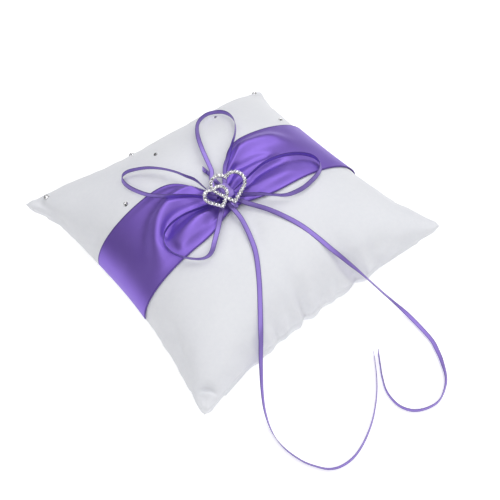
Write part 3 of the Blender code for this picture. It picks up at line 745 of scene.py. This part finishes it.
def make_band(satin):
    """The wide band: sewn flat into both side seams and gathered at the knot."""
    ends = HALF - PULL_X
    stations = []
    for i in range(BAND_ROWS + 1):
        share = 2 * i / BAND_ROWS - 1
        angle = math.pi / 2 * (share - math.copysign(0.12, share) * math.sin(math.pi * abs(share)))
        stations.append(ends * math.sin(angle))
    points, lanes = [], []
    for x in stations:
        for j in range(BAND_COLUMNS + 1):
            across = 2 * j / BAND_COLUMNS - 1
            points.append(band_point(x, across, BAND_CLOTH)[:])
            lanes.append(across)
    points = np.array(points)
    lanes = np.array(lanes)
    x, y = points[:, 0], points[:, 1]
    rise = fold_height(x, y)
    from_knot = np.hypot(x - KNOT.x, (y - KNOT.y) * 1.3)
    angle = np.arctan2(y - KNOT.y, np.abs(x - KNOT.x) + 0.004)
    pleats = 0.0008 * np.cos(15 * angle + np.where(x > KNOT.x, 0.6, 2.1)) * np.exp(-((from_knot / 0.017) ** 2))
    rise = rise + pleats
    edge = np.clip((1 - np.abs(lanes)) / 0.25, 0, 1)
    edge = edge * edge * (3 - 2 * edge)
    body = np.exp(-(((np.abs(x - KNOT.x) - 0.024) / 0.022) ** 2))
    rise += 0.0014 * body * edge
    softness = 0.0004
    rise = softness * np.logaddexp(0, (rise + 0.0003) / softness) - 0.0003
    ceiling = under_the_bow(points)
    rise = -softness * np.logaddexp(-rise / softness, -ceiling / softness)
    seam = np.clip((ends - np.abs(x)) / 0.014, 0, 1)
    points[:, 2] += rise * (0.15 + 0.85 * edge) * seam
    mesh = bpy.data.meshes.new("satin_band")
    faces = grid_faces(BAND_ROWS + 1, BAND_COLUMNS + 1)
    mesh.from_pydata([tuple(p) for p in points], [], faces)
    ribbon_map = mesh.uv_layers.new(name="ribbon")
    for loop in mesh.loops:
        i, j = divmod(loop.vertex_index, BAND_COLUMNS + 1)
        ribbon_map.data[loop.index].uv = (stations[i] / BAND_WIDTH, j / BAND_COLUMNS)
    band = new_piece("satin_band", mesh, satin, ("wide_band",))
    wall = band.modifiers.new("cloth", "SOLIDIFY")
    wall.thickness = BAND_CLOTH
    wall.offset = -1.0
    apply_modifiers(band)
    band.data.shade_smooth()
    return band


# Narrow ribbon


def smooth_route(route, step):
    """Points a step apart on a smooth curve through the route's points, with their turns."""
    keys = np.array(route, float)
    keys = np.vstack([2 * keys[0] - keys[1], keys, 2 * keys[-1] - keys[-2]])
    fine = []
    for before, a, b, after in zip(keys, keys[1:], keys[2:], keys[3:]):
        for t in np.linspace(0, 1, 24, endpoint=False):
            fine.append(0.5 * (
                2 * a + (b - before) * t + (2 * before - 5 * a + 4 * b - after) * t**2
                + (3 * a - before - 3 * b + after) * t**3
            ))
    fine.append(keys[-2])
    fine = np.array(fine)
    travelled = np.concatenate([[0], np.cumsum(np.linalg.norm(np.diff(fine[:, :3], axis=0), axis=1))])
    count = max(2, round(travelled[-1] / step))
    places = np.linspace(0, travelled[-1], count + 1)
    return np.column_stack([np.interp(places, travelled, fine[:, k]) for k in range(4)]), travelled[-1]


def ribbon_mesh(name, route, width=RIBBON_WIDTH, slanted_end=False):
    """A flat woven ribbon along a route: its mesh, its centreline and its length."""
    stations, length = smooth_route(route, RIBBON_STEP)
    centres = stations[:, :3]
    ways = np.gradient(centres, axis=0)
    ways /= np.linalg.norm(ways, axis=1)[:, None]
    flats = np.cross(ways, (0.0, 0.0, 1.0))
    flats /= np.linalg.norm(flats, axis=1)[:, None]
    ups = np.cross(flats, ways)
    turns = np.radians(stations[:, 3])[:, None]
    wide = np.cos(turns) * flats + np.sin(turns) * ups
    thick = np.cross(wide, ways)
    lanes = (-1.0, -0.94, -0.55, 0.0, 0.55, 0.94, 1.0)
    loop = [(lane, 1) for lane in lanes] + [(lane, -1) for lane in reversed(lanes)]
    cup = 0.00010
    points, maps = [], []
    for k, (centre, way) in enumerate(zip(centres, ways)):
        for lane, face in loop:
            half = RIBBON_CLOTH / 2 * (0.45 if abs(lane) == 1.0 else 1.0)
            slant = 0.0012 * lane if slanted_end and k == len(centres) - 1 else 0.0
            point = centre + wide[k] * lane * width / 2 + thick[k] * (face * half + cup * (1 - lane**2)) + way * slant
            points.append(tuple(point))
            maps.append((k * RIBBON_STEP / width, (lane + 1) / 2))
    ring = len(loop)
    faces = [tuple(range(ring)), tuple(reversed(range(len(points) - ring, len(points))))]
    for k in range(len(centres) - 1):
        for i in range(ring):
            j = (i + 1) % ring
            faces.append((k * ring + i, (k + 1) * ring + i, (k + 1) * ring + j, k * ring + j))
    mesh = bpy.data.meshes.new(name)
    mesh.from_pydata(points, [], faces)
    ribbon_map = mesh.uv_layers.new(name="ribbon")
    for corner in mesh.loops:
        ribbon_map.data[corner.index].uv = maps[corner.vertex_index]
    bm = bmesh.new()
    bm.from_mesh(mesh)
    bmesh.ops.recalc_face_normals(bm, faces=bm.faces)
    bm.to_mesh(mesh)
    bm.free()
    mesh.shade_smooth()
    mesh.set_sharp_from_angle(angle=math.radians(50))
    return mesh, [tuple(p) for p in centres], length


def make_bow(ribbon):
    for name, route in TAIL_ROUTES.items():
        mesh, path, length = ribbon_mesh(name + "_satin", route, slanted_end=True)
        tail = new_piece(name + "_satin", mesh, ribbon, (name,))
    for name, route in LOOP_ROUTES.items():
        mesh, path, length = ribbon_mesh(name + "_satin", route)
        loop = new_piece(name + "_satin", mesh, ribbon, (name,))


def start_cube(name, low, high):
    """A cube primitive that fills the box from low to high."""
    middle = (Vector(low) + Vector(high)) / 2
    bpy.ops.object.select_all(action="DESELECT")
    bpy.ops.mesh.primitive_cube_add(size=1.0, location=middle)
    piece = bpy.context.object
    piece.name = name
    piece.scale = Vector(high) - Vector(low)
    bpy.ops.object.transform_apply(location=True, rotation=False, scale=True)
    return piece


def make_knot(ribbon):
    """Ribbon wound round the bow's middle: a rounded block with a groove between its turns."""
    low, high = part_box("bow_knot")
    knot = start_cube("wound_knot", low + Vector((0, 0, 0.0002)), high)
    bpy.ops.object.mode_set(mode="EDIT")
    bpy.ops.mesh.select_all(action="SELECT")
    bpy.ops.mesh.subdivide(number_cuts=15)
    bpy.ops.object.mode_set(mode="OBJECT")
    middle = (low + high) / 2
    size = high - low
    for vert in knot.data.vertices:
        p = vert.co
        across = (p.x - middle.x) / size.x * 2
        along = (p.y - middle.y) / size.y * 2
        upward = (p.z - middle.z) / size.z * 2
        back = max(0.0, (high.z - low.z) * (0.5 - 0.5 * along)) * 0.75
        if upward > 0:
            p.z -= back * upward
        p.x = middle.x + (p.x - middle.x) * (1 - 0.14 * along * along - 0.10 * upward * upward)
        p.y = middle.y + (p.y - middle.y) * (1 - 0.12 * across * across)
        groove = math.cos(across * 8.0 + along * 1.5)
        p.z -= 0.0003 * (1 - groove) * max(0.0, upward)
    rounding = knot.modifiers.new("rounding", "SUBSURF")
    rounding.levels = rounding.render_levels = 1
    apply_modifiers(knot)
    knot.data.materials.append(ribbon)
    knot.data.shade_smooth()
    ribbon_map = knot.data.uv_layers.active
    ribbon_map.name = "ribbon"
    dress(knot, ("bow_knot",))


def make_waist_tie(ribbon):
    """The ribbon that ties the band's waist, round under it and over it."""
    low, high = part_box("waist_tie")
    tie = start_cube("tied_ribbon", low, high)
    bpy.ops.object.mode_set(mode="EDIT")
    bpy.ops.mesh.select_all(action="SELECT")
    bpy.ops.mesh.subdivide(number_cuts=7)
    bpy.ops.object.mode_set(mode="OBJECT")
    middle = (low + high) / 2
    for vert in tie.data.vertices:
        p = vert.co
        reach = (p.y - middle.y) / (high.y - low.y) * 2
        p.z = middle.z + (p.z - middle.z) * math.sqrt(max(0.02, 1 - 0.85 * reach * reach))
        p.x = middle.x + (p.x - middle.x) * (1 - 0.08 * math.cos(reach * 9))
    rounding = tie.modifiers.new("rounding", "SUBSURF")
    rounding.levels = rounding.render_levels = 1
    apply_modifiers(tie)
    tie.data.materials.append(ribbon)
    tie.data.shade_smooth()
    tie.data.uv_layers.active.name = "ribbon"
    dress(tie, ("waist_tie",))


def make_end_knots(ribbon):
    """Short cut ends of the ribbon that come out of the bow, each with a small overhand knot."""
    for node in ("ribbon_end_knot_back", "ribbon_end_knot_left"):
        low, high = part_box(node)
        middle = (low + high) / 2
        radius = (high.x - low.x) / 2
        bpy.ops.object.select_all(action="DESELECT")
        bpy.ops.mesh.primitive_uv_sphere_add(segments=28, ring_count=18, radius=radius, location=middle)
        knot = bpy.context.object
        knot.name = node + "_satin"
        bpy.ops.object.transform_apply(location=True, rotation=False, scale=False)
        for vert in knot.data.vertices:
            way = vert.co - middle
            angle = math.atan2(way.y, way.x)
            wrap = 0.14 * math.cos(3 * angle + way.z / radius * 2.5)
            vert.co = middle + way * (0.92 + wrap * 0.6)
        knot.data.uv_layers.active.name = "ribbon"
        knot.data.shade_smooth()
        out = Vector((middle.x - KNOT.x, middle.y - KNOT.y, 0.0)).normalized()
        start = Vector((KNOT.x, KNOT.y, 0.0)) + out * 0.004
        tip = middle + out * 0.0034
        route = []
        for share in (0.0, 0.25, 0.5, 0.75, 1.0):
            place = start.lerp(Vector((tip.x, tip.y, 0.0)), share)
            place.x += 0.0024 * math.sin(math.pi * share) * (out.y > 0.9)
            on_cloth = top_at(place.x, place.y) + 0.0006
            over_band = band_height(place.x, place.y)
            route.append((place.x, place.y, max(on_cloth, over_band), 14 * math.sin(5 * share)))
        route[-1] = (tip.x, tip.y, route[-1][2] + 0.0003, 20)
        mesh, _, _ = ribbon_mesh(node + "_end", route, width=0.0027, slanted_end=True)
        bm = bmesh.new()
        bm.from_mesh(knot.data)
        bm.from_mesh(mesh)
        bm.to_mesh(knot.data)
        bm.free()
        bpy.data.meshes.remove(mesh)
        knot.data.materials.append(ribbon)
        dress(knot, (node,))


def band_height(x, y):
    """Height just over the band at a place, or 0 outside the band."""
    middle = KNOT.y * gather(x)
    across = (y - middle) / half_width_at(x, y - middle)
    if abs(across) > 1.08:
        return 0.0
    return band_point(x, max(-1.0, min(1.0, across)), BAND_CLOTH).z + 0.0013


# Brooch


def brooch_frame():
    """The brooch's own frame: X to the right, Y up its hearts and Z out of its face."""
    height = top_at(KNOT.x, KNOT.y) + BROOCH_LIFT
    return Matrix.Translation((KNOT.x, KNOT.y, height)) @ Matrix.Rotation(BROOCH_TILT, 4, "X")


def heart_outline(heart):
    """Outline of a heart from its notch round the right side to its tip and back."""
    apart = heart["lobe_apart"]
    radius = heart["lobe"]
    side_angle = math.atan2(apart, heart["tip"]) + math.asin(radius / math.hypot(apart, heart["tip"]))
    notch_angle = math.acos(-apart / radius)
    turn = notch_angle + side_angle
    right = []
    for k in range(12):
        angle = notch_angle - turn * k / 11
        right.append(Vector((apart + radius * math.cos(angle), radius * math.sin(angle))))
    end, tip = right[-1], Vector((0.0, -heart["tip"]))
    right += [end.lerp(tip, k / 3) for k in (1, 2)]
    left = [Vector((-p.x, p.y)) for p in reversed(right[1:])]
    turned = Matrix.Rotation(heart["turn"], 2)
    return [Vector(heart["middle"]) + turned @ p for p in right + [tip] + left]


def along_outline(outline, count):
    closed = outline + outline[:1]
    lengths = [(b - a).length for a, b in zip(closed, closed[1:])]
    places = []
    for n in range(count):
        left = sum(lengths) / count * n
        k = 0
        while left > lengths[k]:
            left -= lengths[k]
            k += 1
        places.append(closed[k].lerp(closed[k + 1], left / lengths[k]))
    return places


def cut_stone(radius, height, sides):
    """One flat-backed brilliant: a girdle, a ring of crown facets and a table."""
    bpy.ops.object.select_all(action="DESELECT")
    bpy.ops.mesh.primitive_circle_add(vertices=sides, radius=radius, fill_type="NGON")
    stone = bpy.context.object
    bpy.ops.object.mode_set(mode="EDIT")
    bpy.ops.mesh.select_all(action="SELECT")
    for rise, shrink in ((0.28, 1.0), (0.34, 0.78), (0.38, 0.72)):
        bpy.ops.mesh.extrude_region_move(TRANSFORM_OT_translate={"value": (0, 0, rise * height)})
        bpy.ops.transform.resize(value=(shrink, shrink, 1.0))
        if shrink < 1.0:
            bpy.ops.transform.rotate(
                value=math.pi / sides, orient_axis="Z", center_override=(0.0, 0.0, 0.0)
            )
    bpy.ops.mesh.select_all(action="SELECT")
    bpy.ops.mesh.quads_convert_to_tris()
    bpy.ops.mesh.normals_make_consistent(inside=False)
    bpy.ops.object.mode_set(mode="OBJECT")
    mesh = stone.data.copy()
    bpy.data.objects.remove(stone)
    return mesh


def set_copies(name, model, places, material, replaces, seed=None, smooth=False, facet_glints=()):
    """Copies of one model, set on their places as one piece."""
    bm = bmesh.new()
    for place in places:
        copy = model.copy()
        copy.transform(place)
        bm.from_mesh(copy)
        bpy.data.meshes.remove(copy)
    mesh = bpy.data.meshes.new(name)
    bm.to_mesh(mesh)
    bm.free()
    if seed is not None:
        # Each face gets a grey from the list: a painted reflection for the crystal finish
        rng = random.Random(seed)
        facet_glint = mesh.attributes.new("facet_glint", "FLOAT", "FACE")
        facet_glint.data.foreach_set("value", [rng.choice(facet_glints) for _ in mesh.polygons])
    if smooth:
        mesh.shade_smooth()
    else:
        mesh.shade_flat()
    return new_piece(name, mesh, material, replaces)


def set_brooch(metal, crystal_finish):
    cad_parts["double_heart_frame"].data.materials.clear()
    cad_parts["double_heart_frame"].data.materials.append(metal)
    seat = BAR_HEIGHT / 2
    base = brooch_frame()
    large = along_outline(heart_outline(LARGE_HEART), LARGE_COUNT)
    small = along_outline(heart_outline(SMALL_HEART), SMALL_COUNT)
    clear = 2 * STONE_RADIUS + 0.0001
    small = [p for p in small if min((p - q).length for q in large) > clear]
    stone = cut_stone(STONE_RADIUS + 0.00009, STONE_HEIGHT, 10)

    def seats(places, lift, seed):
        rng = random.Random(seed)
        return [
            base @ Matrix.Translation((p.x, p.y, seat + lift)) @ Matrix.Rotation(rng.uniform(0, 1), 4, "Z")
            @ Matrix.Rotation(rng.uniform(-0.1, 0.1), 4, "X")
            for p in places
        ]

    large_nodes = [f"large_heart_stone_{n:02d}" for n in range(1, LARGE_COUNT + 1)]
    set_copies(
        "large_heart_brilliants", stone, seats(large, 0.0004, 1), crystal_finish, large_nodes, seed=11,
        facet_glints=HEART_STONE_GLINTS,
    )
    small_nodes = [n for n in ("small_heart_stones_a", "small_heart_stones_b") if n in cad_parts]
    set_copies(
        "small_heart_brilliants", stone, seats(small, 0.0004, 2), crystal_finish, small_nodes, seed=12,
        facet_glints=HEART_STONE_GLINTS,
    )
    set_cups(base, large, small, seat, metal)


def set_cups(base, large, small, seat, metal):
    """A cup under each stone, and the claws between them."""
    bpy.ops.object.select_all(action="DESELECT")
    bpy.ops.mesh.primitive_cylinder_add(vertices=14, radius=0.00108, depth=0.0006)
    cup_object = bpy.context.object
    bpy.ops.object.mode_set(mode="EDIT")
    bpy.ops.mesh.select_mode(type="FACE")
    bpy.ops.mesh.select_all(action="DESELECT")
    bm = bmesh.from_edit_mesh(cup_object.data)
    for face in bm.faces:
        face.select = face.normal.z > 0.9
    bmesh.update_edit_mesh(cup_object.data)
    bpy.ops.mesh.inset(thickness=0.00018)
    bpy.ops.transform.translate(value=(0, 0, -0.0003))
    bpy.ops.object.mode_set(mode="OBJECT")
    cup = cup_object.data.copy()
    bpy.data.objects.remove(cup_object)
    places = [base @ Matrix.Translation((p.x, p.y, seat + 0.0003)) for p in large + small]
    set_copies("stone_cups", cup, places, metal, ())

    bpy.ops.object.select_all(action="DESELECT")
    bpy.ops.mesh.primitive_ico_sphere_add(subdivisions=2, radius=0.00042)
    claw_object = bpy.context.object
    bpy.ops.object.mode_set(mode="EDIT")
    bpy.ops.mesh.select_all(action="SELECT")
    bpy.ops.transform.resize(value=(1.0, 1.0, 1.5))
    bpy.ops.object.mode_set(mode="OBJECT")
    claw = claw_object.data.copy()
    bpy.data.objects.remove(claw_object)
    claws = []
    for row in (large, small):
        for a, b in zip(row, row[1:] + row[:1]):
            if (b - a).length > 0.0030:
                continue
            way = (b - a).normalized()
            side = Vector((-way.y, way.x)) * 0.00108
            for offset in (side, -side):
                middle = (a + b) / 2 + offset
                claws.append(base @ Matrix.Translation((middle.x, middle.y, seat + 0.0008)))
    set_copies("stone_claws", claw, claws, metal, (), smooth=True)


def set_pillow_stones(crystal_finish):
    stone = cut_stone(0.0020, 0.0016, 12)
    places, nodes = [], []
    for number in range(1, 8):
        node = f"pillow_stone_{number}"
        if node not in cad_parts:
            continue
        low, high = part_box(node)
        x, y = (low.x + high.x) / 2, (low.y + high.y) / 2
        near = 0.002
        slope_x = (top_at(x + near, y) - top_at(x - near, y)) / (2 * near)
        slope_y = (top_at(x, y + near) - top_at(x, y - near)) / (2 * near)
        normal = Vector((-slope_x, -slope_y, 1.0)).normalized()
        turn = normal.to_track_quat("Z", "Y").to_matrix().to_4x4()
        middle = (low + high) / 2 - normal * 0.0008
        for (sx, sy), shift in CORNER_SHIFTS.items():
            gone = math.hypot(middle.x - sx * HALF, middle.y - sy * HALF)
            middle += math.exp(-((gone / 0.018) ** 2)) * Vector(shift)
        places.append(Matrix.Translation(middle) @ turn)
        nodes.append(node)
    set_copies("pillow_brilliants", stone, places, crystal_finish, nodes, seed=21, facet_glints=PILLOW_STONE_GLINTS)


def main():
    set_camera()
    white = white_satin()
    band_satin = purple_satin(
        "purple satin band", 0.016, 130, (0.235, 0.134, 0.600, 1), (0.305, 0.188, 0.690, 1)
    )
    ribbon_satin = purple_satin(
        "purple satin ribbon", 0.13, 12, (0.270, 0.185, 0.570, 1), (0.340, 0.245, 0.660, 1)
    )
    metal = silver_metal()
    crystal_finish = crystal()
    make_bow(ribbon_satin)
    make_cushion(white)
    make_band(band_satin)
    make_waist_tie(ribbon_satin)
    make_knot(ribbon_satin)
    make_end_knots(ribbon_satin)
    set_brooch(metal, crystal_finish)
    set_pillow_stones(crystal_finish)
    lay_table(table_top())
    set_studio()


main()
